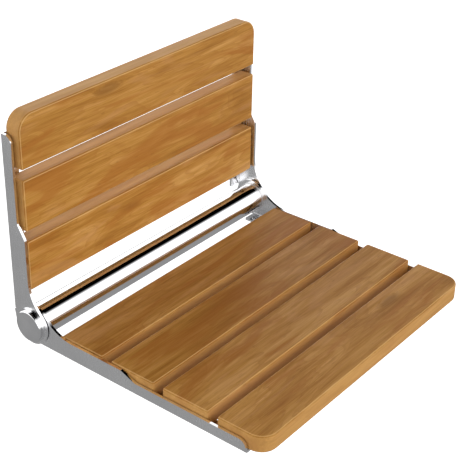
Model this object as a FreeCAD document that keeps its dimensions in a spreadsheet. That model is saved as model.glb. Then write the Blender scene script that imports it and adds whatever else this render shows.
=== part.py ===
import FreeCAD, Part
import Sketcher
import os
import re

# Wall-mounted folding shower seat with a slatted backrest.
#
# Frame of the part: X to the right as seen from the front, Y into the wall, Z up. The origin is the
# middle of the four wall bolts, on the wall plane (Y = 0). The seat is modelled down, ready to sit on.
#
# Both halves are alike: two L-section side brackets with slats screwed on their flanges. Each half is
# drawn in its own hinge frame: origin on the hinge axis, X along the axis, Y from the hinge along the
# half, Z out of its slat faces. The seat half lies forward from the hinge and the back half stands up.

SIZES = (
    ("slat_width", 69.5, "width of every slat"),
    ("slat_gap", 14.2, "open gap between neighbouring slats"),
    ("slat_thick", 24, "thickness of every slat"),
    ("slat_round", 2.5, "rounding of every slat edge"),
    ("slat_corner", 22, "plan radius of the outermost corners of each half"),
    ("seat_slat_start", 45, "hinge axis to the nearest slat edge, seat"),
    ("back_slat_start", 46.6, "hinge axis to the nearest slat edge, back"),
    ("seat_slat_length", 444, "length of the seat slats"),
    ("back_slat_length", 449, "length of the back slats"),
    ("seat_face", 2, "hinge axis above the top of the seat slats"),
    ("back_face", 3, "hinge axis in front of the back slats"),
    ("plate", 3.5, "sheet thickness of the brackets"),
    ("bend_radius", 4.5, "outer radius of the bend between plate and flange"),
    ("hinge_blend", 60, "concave radius that runs the plate edge into the hinge lobe"),
    ("step_round", 8, "rounding of the step in the plate edge"),
    ("seat_plate_x", 223.5, "middle of the seat to the inner face of its side plates"),
    ("seat_flange", 24, "width of the seat flanges over the plate"),
    ("seat_flange_start", 6, "hinge axis to the near end of the seat flanges"),
    ("seat_wide", 3, "hinge axis above the wide part's edge, seat"),
    ("seat_step_start", 150, "hinge axis to the start of the step, seat"),
    ("seat_step_end", 173, "hinge axis to the end of the step, seat"),
    ("seat_narrow", 12, "hinge axis above the narrow part's edge, seat"),
    ("seat_reach", 342, "hinge axis to the far end of the seat brackets"),
    ("seat_end_round", 11, "rounding of the far corner of the seat brackets"),
    ("seat_lobe_inset", 2, "how far the seat's hinge lobe stays inside its flange face"),
    ("back_plate_x", 228, "middle of the back to the inner face of its side plates"),
    ("back_flange", 23, "width of the back flanges over the plate"),
    ("back_flange_start", 14, "hinge axis to the near end of the back flanges"),
    ("back_wide", 0.5, "hinge axis in front of the wide part's edge, back"),
    ("back_step_start", 122, "hinge axis to the start of the step, back"),
    ("back_step_end", 141, "hinge axis to the end of the step, back"),
    ("back_narrow", 12, "hinge axis in front of the narrow part's edge, back"),
    ("back_reach", 258.5, "hinge axis to the far end of the back brackets"),
    ("back_end_round", 10, "rounding of the far corner of the back brackets"),
    ("back_lobe_inset", 3.5, "how far the back's hinge lobe stays clear of the wall"),
    ("screw_inset", 12, "slat edge or bracket end to the screws near it"),
    ("screw_from_plate", 10, "inner face of a side plate to its row of screws"),
    ("screw_radius", 2, "shank radius of the slat screws"),
    ("screw_length", 17, "length of the slat screws"),
    ("screw_head_radius", 4, "radius of the countersunk screw heads"),
    ("bolt_spacing", 172, "height between the upper and lower wall bolts"),
    ("bolt_hole_radius", 3.25, "radius of the wall bolt holes"),
    ("hinge_drop", 120.5, "middle of the wall bolts down to the hinge axis"),
    ("tube_radius", 21.5, "outer radius of the cross tube"),
    ("tube_wall", 2, "wall of the cross tube"),
    ("collar_radius", 22.6, "outer radius of the collars on the tube ends"),
    ("collar_width", 0.8, "width of those collars"),
    ("cap_ring_radius", 23.6, "outer radius of the rings round the end caps"),
    ("cap_ring_width", 2, "width of those rings"),
    ("plug_length", 22, "length of the plugs inside the tube ends"),
    ("bush_radius", 10, "outer radius of the hinge bushes"),
    ("axle_radius", 8, "radius of the axle between the brackets"),
    ("journal_radius", 6, "radius of the axle ends inside the back brackets"),
    ("pivot_bolt_radius", 4, "shank radius of the bolts in the axle ends"),
    ("pivot_bolt_reach", 20, "how deep those bolts sit in the axle"),
    ("pivot_head_radius", 10, "head radius of those bolts"),
    ("pivot_head_height", 3, "head height of those bolts"),
    ("cap_height", 6, "height of the end caps"),
    ("cap_wall", 1.6, "wall of the end caps"),
    ("cap_round", 2, "rounding of the end caps"),
    ("stop_radius", 22.5, "hinge axis to the stop pins"),
    ("stop_pin_radius", 2.5, "radius of the stop pins"),
    ("stop_angle", -75, "angle of the stop pins, from the wall side, upwards positive"),
    ("fold_angle", 90, "travel of the seat, from down to folded up"),
    ("moving_gap", 0.3, "gap between faces that move past each other"),
    ("running_fit", 0.05, "radial play of a shaft, screw or bush in its bore"),
)

SIDES = (("left", -1), ("right", 1))
UNDER = {half: f"({half}_face + slat_thick + plate)" for half in ("seat", "back")}
SLAT_NAMES = {"seat": ("seat_slat_rear", "seat_slat_second", "seat_slat_third", "seat_slat_front"),
              "back": ("back_slat_lower", "back_slat_middle", "back_slat_upper")}
X_AXIS = FreeCAD.Vector(1, 0, 0)
Z_AXIS = FreeCAD.Vector(0, 0, 1)

doc = FreeCAD.newDocument("folding_shower_seat")
sheet = doc.addObject("Spreadsheet::Sheet", "Sizes")
for row, (alias, number, meaning) in enumerate(SIZES, start=1):
    sheet.set(f"A{row}", meaning)
    sheet.set(f"B{row}", str(number))
    sheet.setAlias(f"B{row}", alias)
doc.recompute()

ALIAS = re.compile(r"\b(" + "|".join(alias for alias, number, meaning in SIZES) + r")\b")
nodes = []


def bound(formula):
    """The formula with each alias pointing at its cell in the sheet."""
    return ALIAS.sub(r"Sizes.\1", formula)


def value(formula):
    """The formula's number now, used to start geometry near its place."""
    return float(sheet.evalExpression(bound(formula)))


# ---- drawing helpers -----------------------------------------------------------------------------

def new_body(label):
    body = doc.addObject("PartDesign::Body", label)
    nodes.append(body)
    return body


def new_sketch(body, role, name, height="0"):
    """A sketch on one of the body's origin planes, moved along the plane's normal by a formula."""
    sketch = body.newObject("Sketcher::SketchObject", name)
    support = next(plane for plane in body.Origin.OriginFeatures if plane.Role == role)
    sketch.AttachmentSupport = (support, [""])
    sketch.MapMode = "FlatFace"
    sketch.setExpression(".AttachmentOffset.Base.z", bound(height))
    return sketch


def fix(sketch, constraint, formula):
    """Add a measured constraint and bind it to the sheet."""
    index = sketch.addConstraint(constraint)
    sketch.setExpression(f"Constraints[{index}]", bound(formula))


def fix_point(sketch, geometry, point, across, along):
    fix(sketch, Sketcher.Constraint("DistanceX", -1, 1, geometry, point, value(across)), across)
    fix(sketch, Sketcher.Constraint("DistanceY", -1, 1, geometry, point, value(along)), along)


def draw_outline(sketch, corners):
    """Straight edges through the corners and back to the first; a corner is two formulas."""
    points = [FreeCAD.Vector(value(across), value(along), 0) for across, along in corners]
    count = len(points)
    for i, point in enumerate(points):
        sketch.addGeometry(Part.LineSegment(point, points[(i + 1) % count]), False)
    for i in range(count):
        sketch.addConstraint(Sketcher.Constraint("Coincident", i, 2, (i + 1) % count, 1))
    for i, (across, along) in enumerate(corners):
        fix_point(sketch, i, 1, across, along)


def draw_circle(sketch, across, along, radius):
    centre = FreeCAD.Vector(value(across), value(along), 0)
    index = sketch.addGeometry(Part.Circle(centre, Z_AXIS, value(radius)), False)
    fix_point(sketch, index, 3, across, along)
    fix(sketch, Sketcher.Constraint("Radius", index, value(radius)), radius)


def add_pad(body, sketch, length, backwards=False):
    pad = body.newObject("PartDesign::Pad", sketch.Name + "_pad")
    pad.Profile = sketch
    pad.setExpression("Length", bound(length))
    pad.Reversed = backwards
    pad.Refine = True
    doc.recompute()
    return pad


def add_cut(body, kind, sketch, size, formula, **settings):
    """A Pocket or Groove whose size is bound; it has to take material away."""
    before = body.Shape.Volume
    cut = body.newObject("PartDesign::" + kind, sketch.Name + "_cut")
    cut.Profile = sketch
    for name, setting in settings.items():
        setattr(cut, name, setting)
    cut.setExpression(size, bound(formula))
    cut.Refine = True
    doc.recompute()
    if not body.Shape.Volume < before - 0.1:
        raise RuntimeError(f"{cut.Label} cuts nothing")
    return cut


def add_fillet(body, radius, middles):
    """Round the edges of the body's last feature whose middles lie nearest the given points."""
    base = body.Tip
    centres = [edge.CenterOfMass for edge in base.Shape.Edges]
    names = []
    for middle in middles:
        target = FreeCAD.Vector(*middle)
        nearest = min(range(len(centres)), key=lambda i: centres[i].distanceToPoint(target))
        names.append(f"Edge{nearest + 1}")
    fillet = body.newObject("PartDesign::Fillet", f"{body.Name}_round")
    fillet.Base = (base, names)
    fillet.setExpression("Radius", bound(radius))
    doc.recompute()
    return fillet


def put_on_hinge(piece, half=None):
    """Place a piece drawn in the hinge frame; a half also turns it the way that half points."""
    turn = {None: FreeCAD.Rotation(),
            "seat": FreeCAD.Rotation(Z_AXIS, 180),
            "back": FreeCAD.Rotation(X_AXIS, 90)}[half]
    piece.Placement = FreeCAD.Placement(FreeCAD.Vector(), turn)
    piece.setExpression(".Placement.Base.y", bound("-" + UNDER["back"]))
    piece.setExpression(".Placement.Base.z", bound("-hinge_drop"))


# ---- slats and their screws ----------------------------------------------------------------------

def slat_edge(half, index):
    return f"({half}_slat_start + {index} * (slat_width + slat_gap))"


def screw_rows(half, index):
    """How far from the hinge axis the two screws of a slat's end sit.

    The outermost slat reaches past the bracket, so its far screw keeps to the bracket's end.
    """
    outermost = index == len(SLAT_NAMES[half]) - 1
    far_limit = f"{half}_reach" if outermost else f"{slat_edge(half, index)} + slat_width"
    return f"({slat_edge(half, index)} + screw_inset)", f"({far_limit} - screw_inset)"


def make_slat(half, index, label, outermost):
    body = new_body(label)
    half_length = f"{half}_slat_length / 2"
    near, far = slat_edge(half, index), f"({slat_edge(half, index)} + slat_width)"
    plan = new_sketch(body, "XY_Plane", label + "_plan", f"-{half}_face")
    draw_outline(plan, ((f"-{half_length}", near), (half_length, near),
                        (half_length, far), (f"-{half_length}", far)))
    add_pad(body, plan, "slat_thick", backwards=True)
    if outermost:
        height = value(f"-{half}_face - slat_thick / 2")
        add_fillet(body, "slat_corner",
                   [(side * value(half_length), value(far), height) for name, side in SIDES])
    edges = body.newObject("PartDesign::Fillet", label + "_edges")
    edges.Base = (body.Group[-2], [""])
    edges.UseAllEdges = True
    edges.setExpression("Radius", "Sizes.slat_round")
    doc.recompute()
    holes = new_sketch(body, "XY_Plane", label + "_holes", f"-{half}_face - slat_thick")
    for name, side in SIDES:
        for row in screw_rows(half, index):
            draw_circle(holes, f"{side} * ({half}_plate_x - screw_from_plate)", row,
                        "screw_radius + running_fit")
    add_cut(body, "Pocket", holes, "Length", "screw_length - plate + 1", Reversed=True)
    put_on_hinge(body, half)


def all_screw_rows(half):
    return [row for index in range(len(SLAT_NAMES[half])) for row in screw_rows(half, index)]


def make_screws(half):
    """Countersunk screws, driven through the flange into the slats' undersides."""
    screws = []
    places = [(side, row) for name, side in SIDES for row in all_screw_rows(half)]
    for number, (side, row) in enumerate(places, start=1):
        shank = doc.addObject("Part::Cylinder", f"{half}_shank_{number}")
        shank.setExpression("Radius", "Sizes.screw_radius")
        shank.setExpression("Height", "Sizes.screw_length")
        head = doc.addObject("Part::Cone", f"{half}_head_{number}")
        head.setExpression("Radius1", "Sizes.screw_head_radius")
        head.setExpression("Radius2", "Sizes.screw_radius")
        head.setExpression("Height", bound("screw_head_radius - screw_radius"))
        screw = doc.addObject("Part::Fuse", f"{half}_screw_{number}")
        screw.Base, screw.Tool = shank, head
        screw.setExpression(".Placement.Base.x", bound(f"{side} * ({half}_plate_x - screw_from_plate)"))
        screw.setExpression(".Placement.Base.y", bound(row))
        screw.setExpression(".Placement.Base.z", bound("-" + UNDER[half]))
        screws.append(screw)
    group = doc.addObject("Part::Compound", f"{half}_slat_screws")
    group.Links = screws
    nodes.append(group)
    put_on_hinge(group, half)


# ---- L-section side brackets ---------------------------------------------------------------------

def make_bracket(half, side_name, side):
    """Flange and bend first, then the side plate, the hinge lobe, the roundings and the holes."""
    body = new_body(f"{half}_bracket_{side_name}")
    out = -side if half == "seat" else side
    under, lobe = UNDER[half], f"({UNDER[half]} - {half}_lobe_inset)"
    inner_x, outer_x = f"{out} * {half}_plate_x", f"{out} * ({half}_plate_x + plate)"
    flange_x = f"{out} * ({half}_plate_x + plate - {half}_flange)"
    bend_top, flange_top = f"-({under} - bend_radius)", f"-({under} - plate)"
    start, reach = f"{half}_flange_start", f"{half}_reach"

    section = new_sketch(body, "XZ_Plane", body.Name + "_section", f"-{start}")
    leg_top = f"-{half}_narrow - step_round"
    draw_outline(section, ((outer_x, leg_top), (outer_x, f"-{under}"), (flange_x, f"-{under}"),
                           (flange_x, flange_top), (inner_x, flange_top), (inner_x, leg_top)))
    add_pad(body, section, f"{reach} - {start}", backwards=True)
    middle = value(f"({reach} + {start}) / 2")
    add_fillet(body, "bend_radius", [(value(outer_x), middle, value(f"-{under}"))])
    add_fillet(body, "bend_radius - plate", [(value(inner_x), middle, value(flange_top))])

    profile = new_sketch(body, "YZ_Plane", body.Name + "_profile", inner_x)
    near_flange = f"-({under} - bend_radius / 3)"
    draw_outline(profile, ((reach, bend_top), (reach, f"-{half}_narrow"),
                           (f"{half}_step_end", f"-{half}_narrow"), (f"{half}_step_start", f"-{half}_wide"),
                           ("0", f"-{half}_wide"), ("0", f"-{lobe}"), (start, near_flange),
                           (start, bend_top)))
    add_pad(body, profile, "plate", backwards=out < 0)
    disc = new_sketch(body, "YZ_Plane", body.Name + "_disc", inner_x)
    draw_circle(disc, "0", "0", lobe)
    add_pad(body, disc, "plate", backwards=out < 0)

    mid_x = value(f"{out} * ({half}_plate_x + plate / 2)")
    wide, narrow = value(f"-{half}_wide"), value(f"-{half}_narrow")
    lobe_corner = value(f"sqrt({lobe} ^ 2 - {half}_wide ^ 2)")
    add_fillet(body, "hinge_blend", [(mid_x, lobe_corner, wide)])
    add_fillet(body, "step_round", [(mid_x, value(f"{half}_step_start"), wide),
                                    (mid_x, value(f"{half}_step_end"), narrow)])
    add_fillet(body, f"{half}_end_round", [(mid_x, value(reach), narrow)])

    cut_hinge_holes(body, half, out, inner_x)
    cut_flange_holes(body, half, out)
    put_on_hinge(body, half)


def cut_hinge_holes(body, half, out, inner_x):
    """The seat plate turns on a bush and rides over the stop pin; the back plate holds both."""
    holes = new_sketch(body, "YZ_Plane", body.Name + "_bores", inner_x)
    if half == "seat":
        draw_circle(holes, "0", "0", "bush_radius + running_fit")
    else:
        draw_circle(holes, "0", "0", "journal_radius + running_fit")
        draw_circle(holes, "stop_radius * sin(stop_angle)", "-stop_radius * cos(stop_angle)",
                    "stop_pin_radius + running_fit")
    add_cut(body, "Pocket", holes, "Length", "plate", Reversed=out > 0)
    if half == "seat":
        cut_stop_slot(body, out)


def cut_stop_slot(body, out):
    """A curved slot round the hinge axis, as long as the seat's travel, whose ends meet the pin."""
    slot = new_sketch(body, "XY_Plane", body.Name + "_slot")
    play = "(asin((stop_pin_radius + moving_gap) / stop_radius))"
    slot.AttachmentOffset = FreeCAD.Placement(FreeCAD.Vector(), FreeCAD.Rotation(X_AXIS, 1))
    slot.setExpression(".AttachmentOffset.Rotation.Angle", bound(f"(180 - stop_angle) * 1 deg + {play}"))
    margin = "(stop_pin_radius + moving_gap)"
    near, far = f"stop_radius - {margin}", f"stop_radius + {margin}"
    first, last = f"{out} * (seat_plate_x - 1)", f"{out} * (seat_plate_x + plate + 1)"
    draw_outline(slot, ((first, near), (last, near), (last, far), (first, far)))
    add_cut(body, "Groove", slot, "Angle", f"fold_angle * 1 deg + 2 * {play}",
            ReferenceAxis=(slot, ["H_Axis"]), Reversed=True)


def cut_flange_holes(body, half, out):
    """Countersunk holes for the slat screws and, on the back, plain holes for the wall bolts."""
    row_x = f"{out} * ({half}_plate_x - screw_from_plate)"
    holes = new_sketch(body, "XY_Plane", body.Name + "_screw_holes", f"-{UNDER[half]}")
    rows = all_screw_rows(half)
    for row in rows:
        draw_circle(holes, row_x, row, "screw_radius + running_fit")
    add_cut(body, "Pocket", holes, "Length", "plate", Reversed=True)
    rims = [(value(row_x), value(row), value("-" + UNDER[half])) for row in rows]
    base = body.Tip
    names = [f"Edge{i + 1}" for i, edge in enumerate(base.Shape.Edges)
             if any(edge.CenterOfMass.distanceToPoint(FreeCAD.Vector(*rim)) < 0.01 for rim in rims)]
    sink = body.newObject("PartDesign::Chamfer", body.Name + "_countersinks")
    sink.Base = (base, names)
    sink.setExpression("Size", bound("screw_head_radius - screw_radius"))
    doc.recompute()
    if half == "back":
        bolts = new_sketch(body, "XY_Plane", body.Name + "_bolt_holes", f"-{UNDER[half]}")
        for up in (-1, 1):
            draw_circle(bolts, row_x, f"hinge_drop + {up} * bolt_spacing / 2", "bolt_hole_radius")
        add_cut(body, "Pocket", bolts, "Length", "plate", Reversed=True)


# ---- turned pieces on the hinge axis -------------------------------------------------------------

def make_turned(label, section):
    """A piece of revolution about its X axis; the section's corners are (along, radius) formulas."""
    body = new_body(label)
    sketch = new_sketch(body, "XY_Plane", label + "_section")
    draw_outline(sketch, section)
    turn = body.newObject("PartDesign::Revolution", label + "_turn")
    turn.Profile = sketch
    turn.ReferenceAxis = (sketch, ["H_Axis"])
    turn.Angle = 360
    doc.recompute()
    put_on_hinge(body)
    return body


def make_ring(label, first, last, inner, outer):
    return make_turned(label, ((first, inner), (last, inner), (last, outer), (first, outer)))


def make_axle():
    """Shouldered rod; its thin ends sit in the back brackets and are bored for the pivot bolts."""
    shoulder, end = "back_plate_x", "(back_plate_x + plate)"
    bore, bottom = "pivot_bolt_radius + running_fit", f"({end} - pivot_bolt_reach - 1)"
    make_turned("axle", (
        (f"-{bottom}", "0"), (bottom, "0"), (bottom, bore), (end, bore), (end, "journal_radius"),
        (shoulder, "journal_radius"), (shoulder, "axle_radius"), (f"-{shoulder}", "axle_radius"),
        (f"-{shoulder}", "journal_radius"), (f"-{end}", "journal_radius"), (f"-{end}", bore),
        (f"-{bottom}", bore)))


def make_cross_tube():
    make_ring("cross_tube", "-seat_plate_x", "seat_plate_x", "tube_radius - tube_wall", "tube_radius")


def make_hinge_side(name, side):
    """Everything that repeats at both ends of the axle, from the inside outwards."""
    inside, outside = f"{side} * seat_plate_x", f"{side} * (back_plate_x + plate)"
    make_ring(f"tube_plug_{name}", f"{side} * (seat_plate_x - plug_length)", inside,
              "bush_radius + running_fit", "tube_radius - tube_wall - running_fit")
    make_ring(f"tube_collar_{name}", f"{side} * (seat_plate_x - collar_width)", inside,
              "tube_radius + running_fit", "collar_radius")
    make_ring(f"hinge_bush_{name}", f"{side} * (seat_plate_x - plug_length)",
              f"{side} * (seat_plate_x + plate)", "axle_radius + running_fit", "bush_radius")
    make_ring(f"thrust_washer_{name}", f"{side} * (seat_plate_x + plate + moving_gap)",
              f"{side} * back_plate_x", "axle_radius + running_fit", "stop_radius - stop_pin_radius - 1")
    make_pivot_bolt(name, side)
    make_ring(f"cap_ring_{name}", outside, f"{side} * (back_plate_x + plate + cap_ring_width)",
              "tube_radius + running_fit", "cap_ring_radius")
    make_end_cap(name, side)
    make_stop_pin(name, side)


def make_pivot_bolt(name, side):
    end = "back_plate_x + plate"
    tip, rest = f"{side} * ({end} - pivot_bolt_reach)", f"{side} * ({end})"
    top = f"{side} * ({end} + pivot_head_height)"
    make_turned(f"pivot_bolt_{name}", (
        (tip, "0"), (tip, "pivot_bolt_radius"), (rest, "pivot_bolt_radius"),
        (rest, "pivot_head_radius"), (top, "pivot_head_radius"), (top, "0")))


def make_end_cap(name, side):
    """A shallow cup over the pivot bolt's head."""
    end = "back_plate_x + plate"
    rim, face = f"{side} * ({end})", f"{side} * ({end} + cap_height)"
    roof = f"{side} * ({end} + cap_height - cap_wall)"
    body = make_turned(f"end_cap_{name}", (
        (rim, "tube_radius - cap_wall"), (rim, "tube_radius"), (face, "tube_radius"), (face, "0"),
        (roof, "0"), (roof, "tube_radius - cap_wall")))
    rims = [i for i, edge in enumerate(body.Tip.Shape.Edges)
            if abs(edge.BoundBox.XMin - value(face)) < 0.01 and abs(edge.BoundBox.XMax - value(face)) < 0.01
            and edge.BoundBox.ZMax > value("tube_radius") - 0.01]
    edges = body.newObject("PartDesign::Fillet", body.Name + "_round")
    edges.Base = (body.Group[-2], [f"Edge{i + 1}" for i in rims])
    edges.setExpression("Radius", "Sizes.cap_round")
    doc.recompute()


def make_stop_pin(name, side):
    """A pin fixed in the back bracket; the ends of the seat bracket's curved slot come up to it."""
    first, last = f"{side} * (seat_plate_x + 0.5)", f"{side} * (back_plate_x + plate)"
    pin = make_turned(f"stop_pin_{name}", (
        (first, "0"), (last, "0"), (last, "stop_pin_radius"), (first, "stop_pin_radius")))
    pin.setExpression(".Placement.Base.y", bound(f"stop_radius * cos(stop_angle) - {UNDER['back']}"))
    pin.setExpression(".Placement.Base.z", bound("stop_radius * sin(stop_angle) - hinge_drop"))


# ---- the whole seat ------------------------------------------------------------------------------

def check_document():
    doc.recompute()
    for item in doc.Objects:
        if "Invalid" in item.State or "Error" in item.State:
            raise RuntimeError(f"{item.Label} failed: {item.State}")
    for node in nodes:
        if node.Shape.isNull() or not node.Shape.isValid():
            raise RuntimeError(f"{node.Label} has no valid shape")


def write_nodes():
    os.makedirs("parts", exist_ok=True)
    for node in nodes:
        node.Shape.exportStep(f"parts/{node.Label}.step")
        box = node.Shape.BoundBox
        print(f"{node.Label:24s} {len(node.Shape.Solids):2d} solids {node.Shape.Volume / 1000:8.2f} cm3 "
              f"x {box.XMin:7.1f} {box.XMax:7.1f}  y {box.YMin:7.1f} {box.YMax:7.1f}  "
              f"z {box.ZMin:7.1f} {box.ZMax:7.1f}")


for half_name, slat_names in SLAT_NAMES.items():
    for slat_index, slat_name in enumerate(slat_names):
        make_slat(half_name, slat_index, slat_name, outermost=slat_index == len(slat_names) - 1)
    make_screws(half_name)
    for bracket_side, direction in SIDES:
        make_bracket(half_name, bracket_side, direction)
make_axle()
make_cross_tube()
for hinge_side, direction in SIDES:
    make_hinge_side(hinge_side, direction)
check_document()
write_nodes()
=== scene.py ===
import math

import bpy
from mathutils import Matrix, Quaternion, Vector


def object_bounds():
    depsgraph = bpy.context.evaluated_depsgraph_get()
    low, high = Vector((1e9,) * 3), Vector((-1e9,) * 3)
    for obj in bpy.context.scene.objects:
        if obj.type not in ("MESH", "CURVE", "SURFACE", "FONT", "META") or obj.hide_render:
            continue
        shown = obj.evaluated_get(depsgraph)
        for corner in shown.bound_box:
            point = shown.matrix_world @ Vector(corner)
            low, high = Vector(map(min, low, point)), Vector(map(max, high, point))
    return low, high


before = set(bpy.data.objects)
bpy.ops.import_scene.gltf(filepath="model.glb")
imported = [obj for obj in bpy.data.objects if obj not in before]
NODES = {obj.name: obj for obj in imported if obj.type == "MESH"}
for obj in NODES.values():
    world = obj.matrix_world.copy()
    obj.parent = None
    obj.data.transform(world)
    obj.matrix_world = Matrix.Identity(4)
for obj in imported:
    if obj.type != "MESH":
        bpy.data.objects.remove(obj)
cad_low, cad_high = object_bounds()

VIEW_FROM = Vector((-1.0707, -1.0043, 0.7405))
VIEW_AZIMUTH, VIEW_DOWN, VIEW_ROLL = 52.249, 29.871, 1.33   # degrees; azimuth 0 looks along +Y
VIEW_LENS = 91.93
HALF_PIXEL = 0.5 / 470                                     # the view is centred on a pixel, not between two
FLOOR_DROP, FLOOR_HALF = 0.32, 30                           # metres below the object and each way from it
DIM_GROUND, BRIGHT_WALLS = 0.31, 1.64                       # strength of the studio's light from each

WOOD_TONES = ((0.36, (0.320, 0.130, 0.020)), (0.46, (0.440, 0.200, 0.036)),
              (0.53, (0.520, 0.250, 0.052)), (0.64, (0.640, 0.340, 0.100)))
RING_BROWN = (0.360, 0.135, 0.022, 1)
DARK_PATCH = (0.400, 0.140, 0.022, 1)
PALE_PATCH = (0.610, 0.310, 0.120, 1)
FLECK_BROWN = (0.240, 0.090, 0.018, 1)
KNOT_BROWN = (0.230, 0.095, 0.020, 1)
# painted fill light: a paler tan for the slats' side faces, lighter than the main face
SIDE_PAINTED_FILL_LIGHT = (0.720, 0.400, 0.140, 1)
# painted highlight: a pale colour for the slats' rounded edges
EDGE_PAINTED_HIGHLIGHT = (0.850, 0.540, 0.230, 1)


# ---- material helpers ------------------------------------------------------------------------------

def new_material(name):
    material = bpy.data.materials.new(name)
    material.use_nodes = True
    material.node_tree.nodes.clear()
    return material, material.node_tree


def node(tree, kind, inputs=None, **settings):
    """Adds a node; an input is a number, a colour or the socket that feeds it."""
    made = tree.nodes.new(kind)
    for name, setting in settings.items():
        setattr(made, name, setting)
    for socket, source in (inputs or {}).items():
        if isinstance(source, bpy.types.NodeSocket):
            tree.links.new(source, made.inputs[socket])
        else:
            made.inputs[socket].default_value = source
    return made


def maths(tree, operation, first, second=0.0):
    return node(tree, "ShaderNodeMath", {0: first, 1: second}, operation=operation).outputs[0]


def between(tree, source, low, high, to_low=0.0, to_high=1.0):
    """The source's range low..high as to_low..to_high, smooth and clamped."""
    return node(tree, "ShaderNodeMapRange", {"Value": source, "From Min": low, "From Max": high,
                                             "To Min": to_low, "To Max": to_high},
                interpolation_type="SMOOTHSTEP").outputs[0]


def ramp(tree, source, stops):
    made = node(tree, "ShaderNodeValToRGB", {"Fac": source})
    bands = made.color_ramp.elements
    while len(bands) < len(stops):
        bands.new(0.5)
    for band, (place, colour) in zip(bands, stops):
        band.position = place
        band.color = (*colour, 1)
    return made.outputs["Color"]


def mix(tree, share, first, second):
    """Colours first and second, by share; a Mix node's colour sockets are 6 and 7 in and 2 out."""
    made = node(tree, "ShaderNodeMix", {0: share, 6: first, 7: second}, data_type="RGBA")
    return made.outputs[2]


def stretched(tree, coords, scales, shift=(0, 0, 0)):
    return node(tree, "ShaderNodeMapping", {"Vector": coords, "Scale": scales, "Location": shift}).outputs[0]


def noise(tree, coords, detail=2.0, rough=0.5, distortion=0.0):
    return node(tree, "ShaderNodeTexNoise", {"Vector": coords, "Scale": 1.0, "Detail": detail,
                                             "Roughness": rough, "Distortion": distortion}).outputs["Fac"]


def shade(tree, **inputs):
    """A Principled shader with these sockets, written with _ for a space, as the material's surface."""
    shader = node(tree, "ShaderNodeBsdfPrincipled",
                  {name.replace("_", " "): source for name, source in inputs.items()})
    node(tree, "ShaderNodeOutputMaterial", {"Surface": shader.outputs[0]})


def bumps(tree, height, strength, distance):
    return node(tree, "ShaderNodeBump",
                {"Strength": strength, "Distance": distance, "Height": height}).outputs["Normal"]


def axis_of(tree, vector, axis):
    return node(tree, "ShaderNodeSeparateXYZ", {0: vector}).outputs[axis]


# ---- wood ------------------------------------------------------------------------------------------

def make_wood(name, seed, face):
    """Oiled wood with its grain along X, a painted highlight along the rounded edges round its face and
    painted fill light on its sides; the face points along Y or Z.

    The seed moves the pattern, so that no two slats are alike.
    """
    material, tree = new_material(name)
    coords = node(tree, "ShaderNodeTexCoord")
    here = coords.outputs["Object"]
    shift = (seed * 1.37, seed * 2.11, seed * 0.73)

    knots = node(tree, "ShaderNodeTexVoronoi",
                 {"Vector": stretched(tree, here, (5, 16, 16), shift), "Scale": 1.0, "Randomness": 1.0},
                 feature="F1").outputs["Distance"]
    knot = between(tree, knots, 0.05, 0.17, 1, 0)
    bend = maths(tree, "MULTIPLY", knot, 0.004)
    along = node(tree, "ShaderNodeVectorMath",
                 {0: here, 1: node(tree, "ShaderNodeCombineXYZ", {"Y": bend, "Z": bend}).outputs[0]},
                 operation="ADD").outputs[0]

    broad = noise(tree, stretched(tree, along, (4, 30, 30), shift), 2, 0.5, 1.2)
    patch = noise(tree, stretched(tree, along, (5, 24, 24), (shift[1], shift[2], shift[0])), 3, 0.5, 1.4)
    streak = noise(tree, stretched(tree, along, (9, 170, 170), shift), 3, 0.6, 0.3)
    fibre = noise(tree, stretched(tree, along, (25, 800, 800), shift), 2, 0.6)
    fleck = noise(tree, stretched(tree, along, (60, 420, 420), shift), 1, 0.5)

    tone = maths(tree, "ADD", maths(tree, "MULTIPLY", broad, 0.44), maths(tree, "MULTIPLY", streak, 0.34))
    tone = maths(tree, "ADD", tone, maths(tree, "MULTIPLY", fibre, 0.22))
    colour = ramp(tree, tone, WOOD_TONES)
    rings = between(tree, maths(tree, "FRACT", maths(tree, "MULTIPLY", broad, 12.0)), 0.45, 1.0, 0.0, 0.34)
    colour = mix(tree, rings, colour, RING_BROWN)
    colour = mix(tree, between(tree, patch, 0.50, 0.66, 0.0, 0.60), colour, DARK_PATCH)
    colour = mix(tree, between(tree, patch, 0.46, 0.32, 0.0, 0.35), colour, PALE_PATCH)
    colour = mix(tree, between(tree, fleck, 0.66, 0.74, 0.0, 0.25), colour, FLECK_BROWN)
    colour = mix(tree, maths(tree, "MULTIPLY", knot, 0.55), colour, KNOT_BROWN)

    facing = maths(tree, "ABSOLUTE", axis_of(tree, coords.outputs["Normal"], face))
    # Painted light: the front, rear and end faces are mixed towards a paler tan, standing in for fill light
    # in the gaps between slats.
    colour = mix(tree, between(tree, facing, 0.30, 0.05, 0.0, 0.45), colour, SIDE_PAINTED_FILL_LIGHT)
    # Painted highlight: a narrow pale band where the normal is oblique, on the rounded edges, standing in
    # for the light they reflect.
    edge = maths(tree, "MULTIPLY", between(tree, facing, 0.60, 0.75), between(tree, facing, 0.97, 0.90))
    colour = mix(tree, maths(tree, "MULTIPLY", edge, 0.45), colour, EDGE_PAINTED_HIGHLIGHT)

    rough = between(tree, streak, 0.3, 0.7, 0.50, 0.40)
    shade(tree, Base_Color=colour, Roughness=rough, Normal=bumps(tree, tone, 0.12, 0.0004),
          Specular_IOR_Level=0.16)
    return material


# ---- metal and plastic -----------------------------------------------------------------------------

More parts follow.
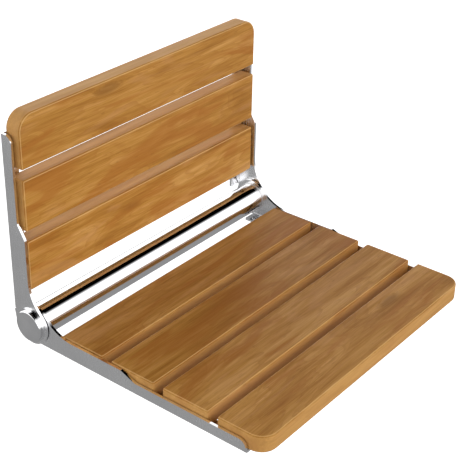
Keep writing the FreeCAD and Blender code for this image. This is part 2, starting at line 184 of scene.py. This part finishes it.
def make_sheet_metal(name):
    """Bracket steel: faintly brushed and clouded on the faces along X, and polished on edges and flanges."""
    material, tree = new_material(name)
    coords = node(tree, "ShaderNodeTexCoord")
    here = coords.outputs["Object"]
    sideways = maths(tree, "ABSOLUTE", axis_of(tree, coords.outputs["Normal"], "X"))
    brushed = noise(tree, stretched(tree, here, (40, 700, 60)), 2, 0.6)
    cloudy = noise(tree, stretched(tree, here, (14, 14, 14)), 2, 0.5)
    tone = maths(tree, "ADD", maths(tree, "MULTIPLY", brushed, 0.35), maths(tree, "MULTIPLY", cloudy, 0.65))
    colour = ramp(tree, tone, ((0.3, (0.86, 0.86, 0.87)), (0.7, (0.96, 0.96, 0.97))))
    rough = maths(tree, "ADD", between(tree, tone, 0.3, 0.7, 0.05, 0.11),
                  between(tree, sideways, 0.90, 0.99, 0.0, 0.18))
    shade(tree, Base_Color=colour, Metallic=1.0, Roughness=rough,
          Normal=bumps(tree, brushed, 0.03, 0.0001))
    return material


def make_metal(name, dark, light, rough_low, rough_high, turned):
    """Turned or drawn metal: its fine marks run round X, and turned is how many there are in a metre."""
    material, tree = new_material(name)
    here = node(tree, "ShaderNodeTexCoord").outputs["Object"]
    rings = noise(tree, stretched(tree, here, (turned, 3, 3)), 2, 0.6)
    smudge = noise(tree, stretched(tree, here, (12, 30, 30)), 3, 0.55)
    colour = ramp(tree, smudge, ((0.3, dark), (0.7, light)))
    rough = between(tree, smudge, 0.3, 0.7, rough_low, rough_high)
    shade(tree, Base_Color=colour, Metallic=1.0, Roughness=rough,
          Normal=bumps(tree, rings, 0.02, 0.0001))
    return material


def make_plastic(name):
    material, tree = new_material(name)
    here = node(tree, "ShaderNodeTexCoord").outputs["Object"]
    grain = noise(tree, stretched(tree, here, (300, 300, 300)), 2, 0.5)
    colour = ramp(tree, grain, ((0.3, (0.58, 0.56, 0.52)), (0.7, (0.68, 0.66, 0.61))))
    shade(tree, Base_Color=colour, Roughness=0.55, Normal=bumps(tree, grain, 0.10, 0.0002))
    return material


def paint(names, material):
    for name in names:
        slots = NODES[name].data.materials
        slots.clear()
        slots.append(material)


# ---- the seat --------------------------------------------------------------------------------------

SLATS = ("seat_slat_rear", "seat_slat_second", "seat_slat_third", "seat_slat_front",
         "back_slat_lower", "back_slat_middle", "back_slat_upper")
for number, slat in enumerate(SLATS, start=1):
    paint([slat], make_wood("wood_" + slat, number, "Z" if slat.startswith("seat") else "Y"))

sheet_metal = make_sheet_metal("bracket_steel")
chrome = make_metal("polished_steel", (0.80, 0.80, 0.81), (0.90, 0.90, 0.91), 0.02, 0.06, 400)
satin = make_metal("satin_steel", (0.80, 0.80, 0.81), (0.90, 0.90, 0.91), 0.38, 0.46, 400)
plain = make_metal("plain_steel", (0.42, 0.42, 0.43), (0.55, 0.55, 0.56), 0.28, 0.40, 1500)
plastic = make_plastic("bearing_plastic")
BOTH = ("left", "right")
paint([f"{half}_bracket_{side}" for half in ("seat", "back") for side in BOTH], sheet_metal)
paint(["cross_tube"] + [f"{piece}_{side}" for piece in ("cap_ring", "end_cap") for side in BOTH], chrome)
paint([f"tube_collar_{side}" for side in BOTH], satin)
paint(["axle", "seat_slat_screws", "back_slat_screws"]
      + [f"{piece}_{side}" for piece in ("tube_plug", "pivot_bolt", "stop_pin") for side in BOTH], plain)
paint([f"{piece}_{side}" for piece in ("hinge_bush", "thrust_washer") for side in BOTH], plastic)


# ---- camera, light and floor -----------------------------------------------------------------------

scene = bpy.context.scene
scene.view_settings.view_transform = "Standard"


def add_camera():
    azimuth, down = math.radians(VIEW_AZIMUTH), math.radians(VIEW_DOWN)
    forward = Vector((math.sin(azimuth) * math.cos(down), math.cos(azimuth) * math.cos(down),
                      -math.sin(down)))
    camera = bpy.data.objects.new("camera", bpy.data.cameras.new("camera"))
    camera.data.lens, camera.data.sensor_width = VIEW_LENS, 36
    camera.data.shift_x, camera.data.shift_y = -HALF_PIXEL, HALF_PIXEL
    camera.location = VIEW_FROM
    camera.rotation_mode = "QUATERNION"
    roll = Quaternion((0, 0, 1), math.radians(VIEW_ROLL))
    camera.rotation_quaternion = forward.to_track_quat("-Z", "Y") @ roll
    scene.collection.objects.link(camera)
    scene.camera = camera


def add_surroundings():
    """A studio of soft light: bright walls all round, a dim ground and a dark strip of ceiling along X."""
    world = bpy.data.worlds.new("studio")
    scene.world = world
    world.use_nodes = True
    tree = world.node_tree
    tree.nodes.clear()
    toward = node(tree, "ShaderNodeTexCoord").outputs["Generated"]
    across = node(tree, "ShaderNodeVectorMath", {0: toward, 1: (0, 1, 1)}, operation="MULTIPLY").outputs[0]
    across = node(tree, "ShaderNodeVectorMath", {0: across}, operation="NORMALIZE").outputs[0]
    walls = between(tree, axis_of(tree, toward, "Z"), -0.26, -0.03, DIM_GROUND, BRIGHT_WALLS)
    ceiling = between(tree, axis_of(tree, across, "Z"), 0.72, 0.93, 1.0, 0.0)
    background = node(tree, "ShaderNodeBackground", {"Color": (1, 1, 1, 1),
                                                     "Strength": maths(tree, "MULTIPLY", walls, ceiling)})
    node(tree, "ShaderNodeOutputWorld", {"Surface": background.outputs[0]})


def add_floor():
    far, height = FLOOR_HALF, cad_low.z - FLOOR_DROP
    mesh = bpy.data.meshes.new("floor")
    mesh.from_pydata([(-far, -far, height), (far, -far, height), (far, far, height), (-far, far, height)],
                     [], [(0, 1, 2, 3)])
    floor = bpy.data.objects.new("floor", mesh)
    scene.collection.objects.link(floor)
    material, tree = new_material("pale_floor")
    shade(tree, Base_Color=(0.85, 0.85, 0.85, 1), Roughness=0.9, Emission_Color=(1, 1, 1, 1),
          Emission_Strength=0.7)
    mesh.materials.append(material)
    floor.visible_glossy = floor.visible_diffuse = False


add_camera()
add_surroundings()
add_floor()
